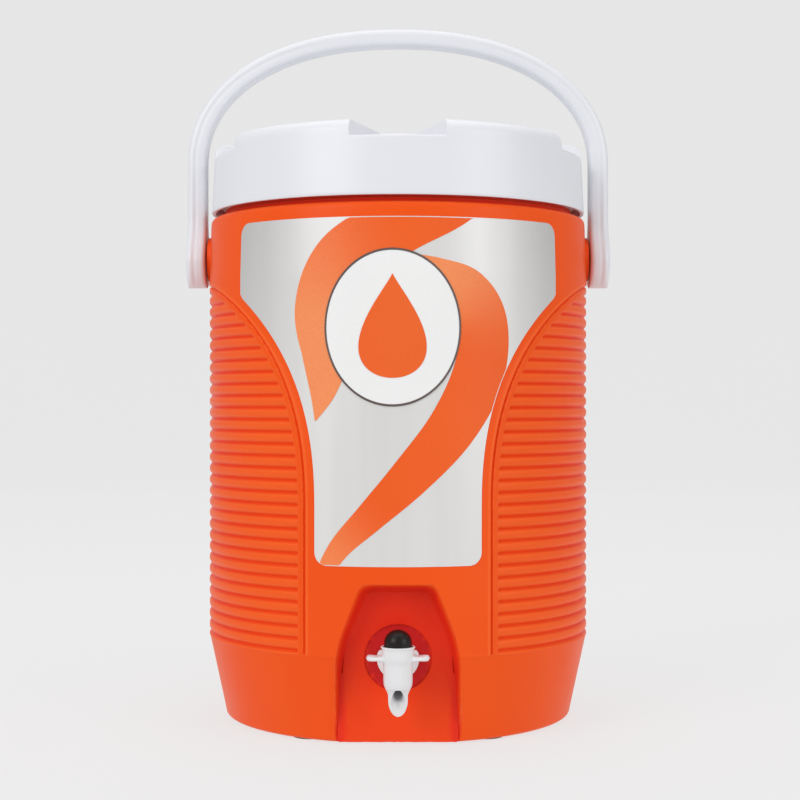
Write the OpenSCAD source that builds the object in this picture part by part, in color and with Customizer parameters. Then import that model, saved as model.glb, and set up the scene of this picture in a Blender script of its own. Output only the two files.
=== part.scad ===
// Round insulated drinks cooler with a push-button tap, a pull-off lid and a carrying bail.
// Frame: origin on the floor below the body's axis, +Z up, the tap faces -Y, the bail swings about X.

/* [Body] */
// Outer radius of the body over its ribs
body_r = 133; // [132:0.5:134]
// Thickness of the outer jacket
shell_wall = 3; // [2.5:0.1:3.2]
// Height of the jacket's base above the floor
base_z = 1; // [1:0.1:2]
// Height of the shoulder that carries the neck
shoulder_z = 346; // [344:1:347]
// Outer radius of the neck above the shoulder
neck_r = 121.5; // [120:0.5:122]
// Height of the neck's top edge
neck_top_z = 352; // [351:0.5:353]
// Inside radius of the tub at its mouth
mouth_r = 107.5; // [106:0.5:108]
// Wall thickness of the tub
liner_wall = 2.5; // [2:0.1:3]

/* [Panels] */
// Half width of the straight part of the smooth panels, along the surface
panel_half = 61.5; // [55:0.5:65]
// Height at which the panels start to widen
panel_flare_z = 150; // [130:5:170]
// Height at which the panels meet at the sides
panel_top_z = 300; // [290:1:305]
// Half width of the tap recess at its floor
recess_floor_half = 34.7; // [33:0.1:36]
// Height of the tap recess
recess_top_z = 103; // [101:1:108]

/* [Label] */
// Lowest edge of the label
label_low_z = 115; // [112:1:125]
// Highest edge of the label
label_high_z = 336; // [320:1:338]
// Largest half width of the label, along the surface
label_half = 119.6; // [100:1:120]
// Thickness of the label film
label_t = 0.4; // [0.3:0.1:0.6]

/* [Lid] */
// Outer radius of the lid at its lower edge
lid_r = 131; // [129:0.5:131]
// Height of the lid's lower edge
lid_low_z = 350; // [350:0.5:351]
// Height of the lid's rounded rim
lid_rim_z = 399.5; // [396:0.5:399.5]
// Number of finger notches
notch_count = 5; // [3:1:6]
// Half width of a notch at the rim
notch_half = 30.8; // [20:0.2:31]
// Depth of the plug below the tub's rim
plug_depth = 13.5; // [12:0.5:14]

/* [Bail handle] */
// Height of the axis that the bail swings on
pivot_z = 319; // [319:0.5:320]
// Half the distance between the arms' inner faces
bail_in_x = 135; // [135:0.5:136]
// Thickness of the bail seen from the front
bail_t = 13.5; // [12:0.5:14]
// Width of the bail seen from the side
bail_w = 17; // [15:1:20]
// Height of the underside of the grip
grip_under_z = 469.5; // [469.5:0.5:471]
// Height of the top of the grip
grip_top_z = 481.5; // [481:0.5:484]

/* [Tap] */
// Height of the tap's shank
tap_z = 55; // [55:0.5:56]
// Distance of the tap's barrel in front of the body's axis
barrel_front = 139; // [138:0.5:140]
// Radius of the tap's shank
shank_r = 9.2; // [9:0.1:9.2]
// Radius of the spout's bore
spout_bore_r = 4.4; // [4:0.1:4.6]

/* [Hidden] */
$fn = 96;

// Body levels and radii
base_fillet = 3.5;        // rounding between the underside and the lower band
ledge_z = 57.5;           // lowest level at full radius
band_low_r = body_r - 12.4;
band_top_r = body_r - 0.8;
shoulder_r = body_r - 1.3;
shoulder_fillet = 3.5;
liner_floor_z = 36;       // inside floor of the tub
liner_floor_r = mouth_r - 3;
rim_t = 3;                // thickness of the tub's rim
rim_top_z = neck_top_z + rim_t;
foam_gap = 0.1;

// Tap recess, cut from the front of the body
recess_floor_y = -114;
recess_half = 40;
recess_top_half = 23.8;
recess_wide_z = 62;
seat_pocket_r = 21.5;     // round pocket round the tap's flange
seat_pocket_d = 1.5;
recess_side_slope = 0.41; // sideways per depth, where the recess opens out
recess_wall = 4;          // jacket left behind the recess
shank_sleeve_r = 12.6;    // clear of the shank and its spacer
spacer_r = 12;
spacer_back_y = -107.6;
spacer_front_y = -109.9;
tap_hole_r = shank_r + 0.4;
pad_face_y = -100;        // flat pad on the tub, inside
pad_r = 19;

// Label
label_margin = 6.7;       // left bare between the label and the panel's edge
label_lift = 0.05;
label_corner_r = 8;

// Feet and plug
foot_r = 12;
foot_ring_r = 105;
foot_angle = 33;
foot_peg_r = 5;
fill_plug_r = 11;

// Pivots
boss_r = 15.5;
washer_r = 8.5;
boss_face_x = bail_in_x - 1;
pivot_r = 4;
thread_r = 3;
screw_head_r = 8;
screw_head_seat_x = bail_in_x + 7.6;
running = 0.05;           // radial clearance of a running fit
insert_r = 7;
insert_x = 113;
insert_len = 15;
pad_end_r = 20;           // round lower end of each arm
arm_top_z = 385;          // where the straight arms turn into the arch
screw_neck_x = bail_in_x - 6;
screw_head_t = 5;
hex_socket_r = 3.4;

// Lid
lid_top_r = lid_r - 2;
lid_fillet = 8.5;
lid_crown = 2;
lid_wall = 3;
lid_seat_gap = 0.3;       // between the lid and the tub's rim
notch_floor_z = lid_rim_z - 11.5;
notch_end_r = 50;         // inner end of a notch
notch_end_half = 10.5;
plug_r = mouth_r - 1.5;
plug_low_z = rim_top_z - plug_depth;
seal_groove_z = plug_low_z + 4;
plate_low_z = rim_top_z + lid_seat_gap;
plate_top_z = plate_low_z + 2.5;
plate_r = lid_r - lid_wall - 0.6;
plug_wall = 5.5;
plug_floor_t = 2.5;
seal_groove_r = plug_r - 3;
seal_r = mouth_r - 0.5;
seal_h = 4;
seal_gap = 0.3;

// Tap levels
barrel_y = -barrel_front;
barrel_r = 9.15;
chamber_r = 6.6;
chamber_low_z = tap_z - 12.5;
seat_low_z = tap_z - 6.5;
seat_t = 2;
seat_hole_r = 3.7;
guide_low_z = tap_z + 4;
cup_z = tap_z + 6;
cup_top_z = tap_z + 11.2;
cup_r = 9.3;
collar_r = 10.75;
wing_z = tap_z + 2;
wing_t = 3.5;
wing_half = 20;
wing_tip_r = 6;
spout_r = 6.35;
spout_low_z = 21;
spout_front_z = 39;
spout_lip_y = 3.8;        // the cut is nearly level in front of this
shank_bore_r = 3.9;
shank_end_y = -88;
flange_r = 13.5;
flange_t = 3;
gasket_r = 14;
gasket_t = 1.9;
stem_r = 2;
disc_r = 5.8;
disc_t = 2.4;
stem_foot_r = 3.5;
stem_foot_t = 1.2;
button_r = 9.05;
button_low_z = cup_top_z - 0.6;
button_side_z = tap_z + 14;
button_top_z = tap_z + 21.7;
button_roof_z = tap_z + 17;
button_boss_r = 3.6;
button_boss_z = tap_z + 11.5;
guide_top_z = cup_z + 1.3;
oring_z = cup_z + 0.4;
oring_wire = 0.74;
button_wall_r = 7.4;      // inside radius of the button's skirt
nut_r = 16;
nut_t = 7.9;
spring_r = 5.5;
spring_wire = 0.45;
spring_turns = 5;

// Colours
orange = [0.93, 0.33, 0.12];
deep_orange = [0.82, 0.22, 0.12];
white = [0.93, 0.93, 0.94];
silver = [0.80, 0.81, 0.83];
black = [0.08, 0.08, 0.09];
grey = [0.35, 0.35, 0.37];
foam_yellow = [0.93, 0.87, 0.65];
steel = [0.62, 0.63, 0.65];

// ---- outlines ----

function mix(a, b, t) = a + (b - a) * t;

// Points of an arc, as [radius, height] pairs
function arc(cx, cy, r, from, to, steps = 6) =
    [for (i = [0:steps]) let (a = mix(from, to, i / steps)) [cx + r * cos(a), cy + r * sin(a)]];

// Half width of the smooth panel along the surface, at height z
function panel_s(z) =
    let (t = min(1, max(0, (z - panel_flare_z) / (panel_top_z - panel_flare_z))))
    panel_half + (body_r * PI / 2 - panel_half) * (1 - pow(1 - pow(t, 2.4), 1 / 2.4));

// The same width seen from the front
function front_x(s) = body_r * sin(min(90, s / body_r * 180 / PI));

// Half width of the label along the surface: the panel's, less an even margin
function panel_slope(z) = panel_s(z + 0.5) - panel_s(z - 0.5);
function label_s(z) =
    min(label_half, panel_s(z) - label_margin * sqrt(1 + pow(panel_slope(z), 2)));

// Radius of the smooth body at height z, above the lower band
function smooth_r(z) =
    z < panel_top_z ? body_r
                    : mix(body_r, shoulder_r, (z - panel_top_z) / (shoulder_z - panel_top_z));

// Radius of the tapered lower band at height z
function band_r(z) = mix(band_low_r, band_top_r, (z - base_z) / (ledge_z - 1 - base_z));

// Outline of the jacket, shrunk by g all round
function jacket_outline(g) =
    let (fillet = max(base_fillet - g, 1), z = base_z + g + fillet)
    concat(
    [[0, base_z + g]],
    arc(band_r(z) - g - fillet, z, fillet, -90, -15),
    [[band_top_r - g, ledge_z - 1],
     [body_r - g, ledge_z],
     [body_r - g, panel_top_z]],
    arc(shoulder_r - shoulder_fillet, shoulder_z - shoulder_fillet, shoulder_fillet - g, 10, 90));

// Superellipse arch above height z0, from +x round to -x
function arch(a, b, z0, n = 2.2, steps = 40) =
    [for (i = [0:steps]) let (t = 180 * i / steps, c = cos(t), s = sin(t))
        [a * sign(c) * pow(abs(c), 2 / n), z0 + b * pow(s, 2 / n)]];

// ---- shared shapes ----

// Extrudes a front-view outline, given as [x, z], from y = y0 to y = y1
module from_front(y0, y1) {
    translate([0, y1, 0]) rotate([90, 0, 0]) linear_extrude(height = y1 - y0) children();
}

// A cylinder along Y from y = y0 to y = y1, at height z
module y_rod(r, y0, y1, z, x = 0) {
    translate([x, y1, z]) rotate([90, 0, 0]) cylinder(r = r, h = y1 - y0);
}

// A cylinder along X from x = x0 to x = x1, on the pivot axis
module pivot_rod(r, x0, x1) {
    translate([x0, 0, pivot_z]) rotate([0, 90, 0]) cylinder(r = r, h = x1 - x0);
}

module ring(r_in, r_out, z0, z1) {
    rotate_extrude() translate([r_in, z0]) square([r_out - r_in, z1 - z0]);
}

// The tap recess, grown by g: three prisms cut to one bevelled pocket
module recess(g) {
    far = 40;
    intersection() {
        from_front(recess_floor_y - far, recess_floor_y + g)
            polygon([[-recess_half - far, -20], [recess_half + far, -20],
                     [recess_half + far, recess_wide_z + g - far],
                     [recess_half + g, recess_wide_z + g],
                     [recess_top_half + g, recess_top_z - 3 + g],
                     [recess_top_half - 5, recess_top_z + g],
                     [-recess_top_half + 5, recess_top_z + g],
                     [-recess_top_half - g, recess_top_z - 3 + g],
                     [-recess_half - g, recess_wide_z + g],
                     [-recess_half - far, recess_wide_z + g - far]]);
        translate([0, 0, -20]) linear_extrude(height = 160)
            polygon([[recess_floor_half + g, recess_floor_y + g],
                     [-recess_floor_half - g, recess_floor_y + g],
                     [-recess_floor_half - g - recess_side_slope * far, recess_floor_y + g - far],
                     [recess_floor_half + g + recess_side_slope * far, recess_floor_y + g - far]]);
        rotate([90, 0, 90]) linear_extrude(height = 200, center = true)
            polygon([[recess_floor_y + g, -20], [recess_floor_y + g, recess_top_z - 8 + g],
                     [recess_floor_y + g - far, recess_top_z + 12 + g],
                     [recess_floor_y + g - far, -20]]);
    }
}

module foot_places() {
    for (side = [-1, 1], end = [0, 180])
        rotate(end + side * foot_angle) translate([0, -foot_ring_r, 0]) children();
}

// Space inside the jacket, shrunk by g
module jacket_inside(g) {
    difference() {
        rotate_extrude() polygon(concat(jacket_outline(shell_wall + g),
                                        [[0, shoulder_z - shell_wall - g]]));
        recess(recess_wall + g);
        if (g > 0)
            y_rod(shank_sleeve_r, -115, -100, tap_z);
    }
    ring(0, neck_r - shell_wall - g, shoulder_z - 10, neck_top_z - g);
}

// Outer volume of the tub, grown by g, without its rim
module tub_volume(g) {
    rotate_extrude()
        polygon([[0, liner_floor_z - liner_wall - g],
                 [liner_floor_r - 2, liner_floor_z - liner_wall - g],
                 [liner_floor_r + liner_wall + g, liner_floor_z + 2],
                 [mouth_r + liner_wall + g, neck_top_z],
                 [mouth_r + liner_wall + g, rim_top_z], [0, rim_top_z]]);
}

// ---- body ----

module outer_shell() {
    color(orange) difference() {
        union() {
            rotate_extrude() polygon(concat(jacket_outline(0), [[0, shoulder_z]]));
            ring(0, neck_r, shoulder_z - 5, neck_top_z);
            for (side = [-1, 1])
                pivot_rod(boss_r, side > 0 ? 120 : -boss_face_x, side > 0 ? boss_face_x : -120);
        }
        jacket_inside(0);
        recess(0);
        y_rod(seat_pocket_r, -130, recess_floor_y + seat_pocket_d, tap_z);
        y_rod(tap_hole_r, -130, -100, tap_z);
        ring(0, neck_r - shell_wall, shoulder_z - 4, neck_top_z + 1);
        pivot_rod(pivot_r + running, -boss_face_x - 1, boss_face_x + 1);
        foot_places() cylinder(r = foot_peg_r + 0.1, h = 20);
        cylinder(r = fill_plug_r + 0.1, h = 20);
    }
}

module inner_liner() {
    color(white) difference() {
        union() {
            difference() {
                union() {
                    tub_volume(0);
                    ring(mouth_r, neck_r, neck_top_z, rim_top_z);
                }
                rotate_extrude()
                    polygon([[0, liner_floor_z], [liner_floor_r - 4, liner_floor_z],
                             [liner_floor_r, liner_floor_z + 4], [mouth_r, rim_top_z],
                             [mouth_r, rim_top_z + 1], [0, rim_top_z + 1]]);
            }
            intersection() {
                y_rod(pad_r, -120, pad_face_y, tap_z);
                tub_volume(0);
            }
        }
        y_rod(tap_hole_r, -130, -90, tap_z);
    }
}

module foam_core() {
    color(foam_yellow) difference() {
        jacket_inside(foam_gap);
        tub_volume(foam_gap);
        y_rod(shank_sleeve_r, -130, -100, tap_z);
        pivot_rod(insert_r + 0.1, insert_x - 0.1, body_r);
        pivot_rod(insert_r + 0.1, -body_r, -insert_x + 0.1);
        foot_places() cylinder(r = foot_peg_r + 0.1, h = base_z + 5);
        cylinder(r = fill_plug_r + 0.1, h = base_z + 6);
        ring(neck_r - shell_wall - 1, neck_r, neck_top_z - 0.2, neck_top_z + 1);
    }
}

module foam_fill_plug() {
    color(deep_orange) union() {
        translate([0, 0, base_z - 0.6]) cylinder(r = fill_plug_r + 3, h = 0.6);
        translate([0, 0, base_z]) cylinder(r = fill_plug_r, h = 5.5);
    }
}

module foot(side, end) {
    color(grey) rotate(end + side * foot_angle) translate([0, -foot_ring_r, 0]) union() {
        cylinder(r1 = foot_r - 0.4, r2 = foot_r, h = base_z);
        translate([0, 0, base_z]) cylinder(r = foot_peg_r, h = 4.5);
    }
}

module front_label() {
    steps = 20;
    z0 = label_low_z;
    z1 = label_high_z;
    side = [for (i = [0:steps]) let (z = mix(z0, z1, i / steps)) [front_x(label_s(z)), z]];
    mirrored = [for (i = [steps:-1:0]) [-side[i][0], side[i][1]]];
    low_r = body_r + label_lift;
    top_r = smooth_r(z1) + label_lift;
    color(silver) intersection() {
        rotate_extrude($fn = 180)
            polygon([[low_r, z0 - 1], [low_r + label_t, z0 - 1],
                     [low_r + label_t, panel_top_z], [top_r + label_t, z1 + 1],
                     [top_r, z1 + 1], [low_r, panel_top_z]]);
        from_front(-body_r - 10, -20)
            offset(r = label_corner_r, $fn = 32) offset(delta = -label_corner_r)
                polygon(concat(side, mirrored));
    }
}

// ---- bail and its pivots ----

module bail_handle() {
    out_x = bail_in_x + bail_t;
    outer = arch(out_x, grip_top_z - arm_top_z, arm_top_z);
    inner = arch(bail_in_x, grip_under_z - arm_top_z, arm_top_z);
    color(white) difference() {
        union() {
            from_front(-bail_w / 2, bail_w / 2)
                difference() {
                    polygon(concat([[out_x, pivot_z]], outer, [[-out_x, pivot_z]]));
                    polygon(concat([[bail_in_x, pivot_z - 1]], inner, [[-bail_in_x, pivot_z - 1]]));
                }
            pivot_rod(pad_end_r, bail_in_x, out_x);
            pivot_rod(pad_end_r, -out_x, -bail_in_x);
        }
        pivot_rod(pivot_r + running, -200, 200);
        pivot_rod(screw_head_r + 0.3, screw_head_seat_x - 0.1, 200);
        pivot_rod(screw_head_r + 0.3, -200, -screw_head_seat_x + 0.1);
    }
}

module pivot_screw(side) {
    color(steel) rotate(side > 0 ? 0 : 180) difference() {
        union() {
            pivot_rod(thread_r, insert_x + 1, screw_neck_x);
            pivot_rod(pivot_r, screw_neck_x, screw_head_seat_x);
            pivot_rod(screw_head_r, screw_head_seat_x, screw_head_seat_x + screw_head_t);
        }
        translate([screw_head_seat_x + screw_head_t / 2, 0, pivot_z]) rotate([0, 90, 0])
            cylinder(r = hex_socket_r, h = screw_head_t, $fn = 6);
    }
}

module pivot_washer(side) {
    color(black) rotate(side > 0 ? 0 : 180) difference() {
        pivot_rod(washer_r, boss_face_x + 0.1, bail_in_x - 0.1);
        pivot_rod(pivot_r + 0.1, 100, 150);
    }
}

module pivot_insert(side) {
    color(steel) rotate(side > 0 ? 0 : 180) difference() {
        pivot_rod(insert_r, insert_x, insert_x + insert_len);
        pivot_rod(thread_r + running, 100, 150);
    }
}

// ---- lid ----

// Outline of the lid from its lower edge to the crown, shrunk by g
function lid_outline(g) = concat(
    [[lid_r - g, lid_low_z]],
    arc(lid_top_r - lid_fillet, lid_rim_z - lid_fillet, lid_fillet - g, 0, 90),
    [[60, lid_rim_z + lid_crown * 0.8 - g], [0, lid_rim_z + lid_crown - g]]);

// Finger notches, grown by g
module notches(g) {
    reach = 150;
    spread = (notch_half - notch_end_half) / (lid_top_r - notch_end_r);
    half = notch_end_half + spread * (reach - notch_end_r);
    for (i = [0:notch_count - 1])
        rotate(i * 360 / notch_count) translate([0, 0, notch_floor_z - g])
            linear_extrude(height = 30)
                polygon([[notch_end_half + g, -notch_end_r + g],
                         [-notch_end_half - g, -notch_end_r + g],
                         [-half - g, -reach], [half + g, -reach]]);
}

module lid_shell() {
    color(white) difference() {
        rotate_extrude() polygon(concat(lid_outline(0), [[0, lid_low_z]]));
        notches(0);
        difference() {
            rotate_extrude()
                polygon(concat([[lid_r - lid_wall, lid_low_z - 1]], lid_outline(lid_wall),
                               [[0, lid_low_z - 1]]));
            notches(lid_wall);
        }
    }
}

module lid_liner() {
    g0 = seal_groove_z;
    g1 = seal_groove_z + seal_h + 2 * seal_gap;
    color(white) rotate_extrude()
        polygon([[0, plug_low_z], [plug_r - 1.5, plug_low_z], [plug_r, plug_low_z + 1.5],
                 [plug_r, g0], [seal_groove_r, g0], [seal_groove_r, g1], [plug_r, g1],
                 [plug_r, plate_low_z], [plate_r, plate_low_z],
                 [plate_r, plate_top_z], [plug_r - plug_wall, plate_top_z],
                 [plug_r - plug_wall, plug_low_z + plug_floor_t], [0, plug_low_z + plug_floor_t]]);
}

module lid_foam() {
    color(foam_yellow) difference() {
        union() {
            rotate_extrude()
                polygon(concat([[lid_r - lid_wall - 1, plate_top_z + 0.1]],
                               lid_outline(lid_wall + 0.5), [[0, plate_top_z + 0.1]]));
            ring(0, plug_r - plug_wall - 0.1, plug_low_z + plug_floor_t + 0.1, plate_top_z + 1);
        }
        notches(lid_wall + 0.1);
        ring(plug_r - plug_wall - 0.1, lid_r, lid_low_z - 1, plate_top_z + 0.1);
    }
}

module lid_gasket() {
    z0 = seal_groove_z + seal_gap;
    color(black) rotate_extrude()
        polygon([[seal_groove_r + seal_gap, z0], [plug_r, z0], [seal_r, z0 + 1],
                 [seal_r, z0 + seal_h - 1], [plug_r, z0 + seal_h],
                 [seal_groove_r + seal_gap, z0 + seal_h]]);
}

// ---- tap ----

module at_barrel(z = 0) {
    translate([0, barrel_y, z]) children();
}

// The wedge that cuts the spout's mouth on a slant, open to the front
module spout_cut() {
    back_y = barrel_y + spout_r;
    front_y = barrel_y - barrel_r - 5;
    rotate([90, 0, 90]) linear_extrude(height = 40, center = true)
        polygon([[barrel_y - spout_lip_y, spout_front_z], [back_y, spout_low_z], [back_y, 0],
                 [front_y, 0], [front_y, spout_front_z + 1]]);
}

module faucet_body() {
    color(white) difference() {
        union() {
            at_barrel(chamber_low_z - 1) cylinder(r = barrel_r, h = wing_z - chamber_low_z + 2);
            at_barrel(chamber_low_z - 4) cylinder(r1 = spout_r, r2 = barrel_r, h = 3);
            at_barrel(spout_low_z) cylinder(r = spout_r, h = chamber_low_z - spout_low_z);
            at_barrel(wing_z) cylinder(r = collar_r - 0.3, h = wing_t);
            at_barrel(wing_z + wing_t) cylinder(r1 = collar_r - 0.3, r2 = collar_r,
                                               h = cup_top_z - wing_z - wing_t);
            for (side = [-1, 1])
                at_barrel(wing_z) translate([side * (wing_half - wing_tip_r), 0, 0])
                    cylinder(r = wing_tip_r, h = wing_t);
            at_barrel(wing_z) translate([-wing_half + wing_tip_r, -wing_tip_r, 0])
                cube([2 * (wing_half - wing_tip_r), 2 * wing_tip_r, wing_t]);
            y_rod(shank_r, barrel_y, shank_end_y, tap_z);
            y_rod(flange_r, recess_floor_y - 0.6 - flange_t, recess_floor_y - 0.6, tap_z);
        }
        at_barrel(0) cylinder(r = spout_bore_r, h = chamber_low_z + 1);
        at_barrel(chamber_low_z) cylinder(r = chamber_r, h = 40);
        at_barrel(cup_z) cylinder(r = cup_r, h = 40);
        y_rod(shank_bore_r, barrel_y, -80, tap_z);
        spout_cut();
    }
}

module valve_seat() {
    color(white) at_barrel(seat_low_z) difference() {
        cylinder(r = chamber_r - 0.02, h = seat_t);
        translate([0, 0, -1]) cylinder(r = seat_hole_r, h = seat_t + 2);
    }
}

module stem_guide() {
    color(grey) at_barrel() difference() {
        union() {
            translate([0, 0, cup_z]) cylinder(r = cup_r - 0.05, h = guide_top_z - cup_z);
            translate([0, 0, guide_low_z]) cylinder(r = chamber_r - 0.05, h = cup_z - guide_low_z);
        }
        cylinder(r = stem_r + running, h = 100);
        translate([0, 0, oring_z - 0.8]) cylinder(r = 3.6, h = 20);
    }
}

module stem_oring() {
    color(black) at_barrel(oring_z)
        rotate_extrude() translate([stem_r + running + oring_wire, 0]) circle(r = oring_wire);
}

module valve_stem() {
    color(grey) at_barrel() union() {
        translate([0, 0, seat_low_z - 0.1 - disc_t - stem_foot_t])
            cylinder(r = stem_foot_r, h = stem_foot_t);
        translate([0, 0, seat_low_z - 0.1 - disc_t])
            cylinder(r = stem_r, h = button_roof_z + 0.4 - seat_low_z + disc_t);
    }
}

module valve_disc() {
    color(black) at_barrel(seat_low_z - 0.1 - disc_t) difference() {
        cylinder(r1 = disc_r - 0.6, r2 = disc_r, h = disc_t);
        translate([0, 0, -1]) cylinder(r = stem_r + 0.02, h = disc_t + 2);
    }
}

// Coil spring: a ring of points swept along a helix
module return_spring() {
    sides = 8;
    per_turn = 20;
    rings = spring_turns * per_turn;
    low = guide_top_z + spring_wire + 0.05;
    high = button_roof_z - spring_wire - 0.05;
    points = [for (i = [0:rings], k = [0:sides - 1])
                 let (a = 360 * i / per_turn, b = 360 * k / sides,
                      r = spring_r + spring_wire * cos(b))
                 [r * cos(a), r * sin(a), mix(low, high, i / rings) + spring_wire * sin(b)]];
    walls = [for (i = [0:rings - 1], k = [0:sides - 1])
                let (n = (k + 1) % sides)
                [i * sides + k, i * sides + n, (i + 1) * sides + n, (i + 1) * sides + k]];
    caps = [[for (k = [sides - 1:-1:0]) k], [for (k = [0:sides - 1]) rings * sides + k]];
    color(steel) at_barrel() polyhedron(points, concat(walls, caps), convexity = 10);
}

module push_button() {
    dome_h = button_top_z - button_side_z;
    dome = [for (i = [0:10]) let (a = 9 * i)
               [button_r * cos(a), button_side_z + dome_h * sin(a)]];
    color(black) at_barrel() difference() {
        rotate_extrude() polygon(concat([[0, button_low_z], [button_r, button_low_z]], dome));
        difference() {
            translate([0, 0, button_low_z - 1])
                cylinder(r = button_wall_r, h = button_roof_z - button_low_z + 1);
            translate([0, 0, button_boss_z]) cylinder(r = button_boss_r, h = 20);
        }
        translate([0, 0, button_low_z - 1])
            cylinder(r = stem_r + 0.02, h = button_roof_z + 0.5 - button_low_z + 1);
    }
}

module outer_gasket() {
    color(grey) difference() {
        y_rod(gasket_r, recess_floor_y - 0.5, recess_floor_y - 0.5 + gasket_t, tap_z);
        y_rod(shank_r + 0.1, -130, -100, tap_z);
    }
}

module inner_gasket() {
    color(grey) difference() {
        y_rod(gasket_r, pad_face_y + 0.05, pad_face_y + 2, tap_z);
        y_rod(shank_r + 0.1, -130, -80, tap_z);
    }
}

module lock_nut() {
    color(white) difference() {
        translate([0, pad_face_y + 2.1 + nut_t, tap_z]) rotate([90, 0, 0])
            cylinder(r = nut_r, h = nut_t, $fn = 6);
        y_rod(shank_r + running, -130, -80, tap_z);
    }
}

module shank_spacer() {
    color(grey) difference() {
        y_rod(spacer_r, spacer_front_y, spacer_back_y, tap_z);
        y_rod(shank_r + 0.1, -130, -80, tap_z);
    }
}

outer_shell();
inner_liner();
foam_core();
foam_fill_plug();
foot(-1, 0);  // foot_front_left
foot(1, 0);  // foot_front_right
foot(1, 180);  // foot_rear_left
foot(-1, 180);  // foot_rear_right
front_label();
bail_handle();
pivot_screw(-1);  // pivot_screw_left
pivot_screw(1);  // pivot_screw_right
pivot_washer(-1);  // pivot_washer_left
pivot_washer(1);  // pivot_washer_right
pivot_insert(-1);  // pivot_insert_left
pivot_insert(1);  // pivot_insert_right
lid_shell();
lid_liner();
lid_foam();
lid_gasket();
faucet_body();
valve_seat();
stem_guide();
stem_oring();
valve_stem();
valve_disc();
return_spring();
push_button();
outer_gasket();
inner_gasket();
lock_nut();
shank_spacer();
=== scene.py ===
"""Round insulated drinks cooler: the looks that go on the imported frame.

Lengths in this file are millimetres until make() turns them into metres.
"""
import math

import bmesh
import bpy
import numpy as np
from mathutils import Matrix, Vector


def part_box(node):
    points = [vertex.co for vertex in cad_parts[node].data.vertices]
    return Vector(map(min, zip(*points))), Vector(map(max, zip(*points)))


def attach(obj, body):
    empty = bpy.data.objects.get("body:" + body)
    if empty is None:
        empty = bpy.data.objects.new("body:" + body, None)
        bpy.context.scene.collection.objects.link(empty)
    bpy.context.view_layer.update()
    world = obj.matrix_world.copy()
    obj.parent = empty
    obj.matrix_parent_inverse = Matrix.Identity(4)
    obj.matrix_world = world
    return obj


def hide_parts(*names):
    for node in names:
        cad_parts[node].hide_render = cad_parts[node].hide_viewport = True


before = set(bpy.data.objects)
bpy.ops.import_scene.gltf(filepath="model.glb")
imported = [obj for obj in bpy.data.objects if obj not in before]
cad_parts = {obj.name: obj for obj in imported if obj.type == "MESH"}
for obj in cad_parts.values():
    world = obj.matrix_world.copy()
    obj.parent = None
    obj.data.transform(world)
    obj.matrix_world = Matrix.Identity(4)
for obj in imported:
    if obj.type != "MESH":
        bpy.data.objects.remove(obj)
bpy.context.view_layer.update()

MM = 0.001


def box_mm(node):
    low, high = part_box(node)
    return [v / MM for v in low], [v / MM for v in high]


# ---- levels that come from the frame ----

shell_low, shell_high = box_mm("outer_shell")
lid_low, lid_high = box_mm("lid_shell")
bail_high = box_mm("bail_handle")[1]
screw_low, screw_high = box_mm("pivot_screw_right")
button_low, button_high = box_mm("push_button")
label_low, label_high = box_mm("front_label")

BASE_Z = shell_low[2]
NECK_TOP = shell_high[2]
BODY_R = shell_high[1] - 0.4          # smooth panels, under the raised lip
LINE_R = shell_high[1]                # radius that lengths along the surface are measured at
PIVOT_Z = (screw_low[2] + screw_high[2]) / 2
TAP_Y = (button_low[1] + button_high[1]) / 2
TAP_Z = 55.0

# ---- mesh helpers ----


def make(name, bm, body, material, smooth=35.0):
    """Turns a bmesh in millimetres into an object that rides on a body."""
    bmesh.ops.recalc_face_normals(bm, faces=bm.faces)
    bm.transform(Matrix.Scale(MM, 4))
    mesh = bpy.data.meshes.new(name)
    bm.to_mesh(mesh)
    bm.free()
    obj = bpy.data.objects.new(name, mesh)
    bpy.context.scene.collection.objects.link(obj)
    if material:
        mesh.materials.append(material)
    mesh.shade_smooth()
    if smooth < 180:
        mesh.set_sharp_from_angle(angle=math.radians(smooth))
    if body:
        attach(obj, body)
    return obj


def ring_skin(bm, rows, wrap=True, ends=True):
    """Faces between rows of points; a row of one point closes to a tip."""
    made = [[bm.verts.new(p) for p in row] for row in rows]
    for a, b in zip(made, made[1:]):
        n = max(len(a), len(b))
        for i in range(n if wrap else n - 1):
            j = (i + 1) % n
            if len(a) == 1:
                bm.faces.new((a[0], b[i], b[j]))
            elif len(b) == 1:
                bm.faces.new((a[i], b[0], a[j]))
            else:
                bm.faces.new((a[i], b[i], b[j], a[j]))
    if ends:
        for row in (made[0], made[-1]):
            if len(row) > 2:
                bm.faces.new(row)
    return made


def mark_painted_light(bm, depth):
    """Stores depth(x, y, z) on every vertex as the attribute that materials turn into painted highlights
    and painted shade.
    """
    layer = bm.verts.layers.float.new("painted_light")
    for v in bm.verts:
        v[layer] = depth(*v.co)


def close_tube(bm, rows):
    """A tube whose last row joins its first, such as a hollow turned part."""
    made = ring_skin(bm, rows, ends=False)
    a, b = made[-1], made[0]
    for i in range(len(a)):
        j = (i + 1) % len(a)
        bm.faces.new((a[i], b[i], b[j], a[j]))


def turned(profile, place, steps=96):
    """Rows of a turned part: profile is [radius, height] pairs, place puts a point in space."""
    rows = []
    for r, h in profile:
        if r < 1e-6:
            rows.append([place(0, 0, h)])
        else:
            rows.append([place(r * math.cos(a), r * math.sin(a), h)
                         for a in (2 * math.pi * i / steps for i in range(steps))])
    return rows


def fillet(cx, cy, r, start, end, steps=6):
    """Points of an arc, angles in degrees."""
    return [(cx + r * math.cos(math.radians(start + (end - start) * i / steps)),
             cy + r * math.sin(math.radians(start + (end - start) * i / steps)))
            for i in range(steps + 1)]


def mix(a, b, t):
    return a + (b - a) * t


def smoothstep(low, high, x):
    t = np.clip((x - low) / (high - low), 0.0, 1.0)
    return t * t * (3 - 2 * t)


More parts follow.
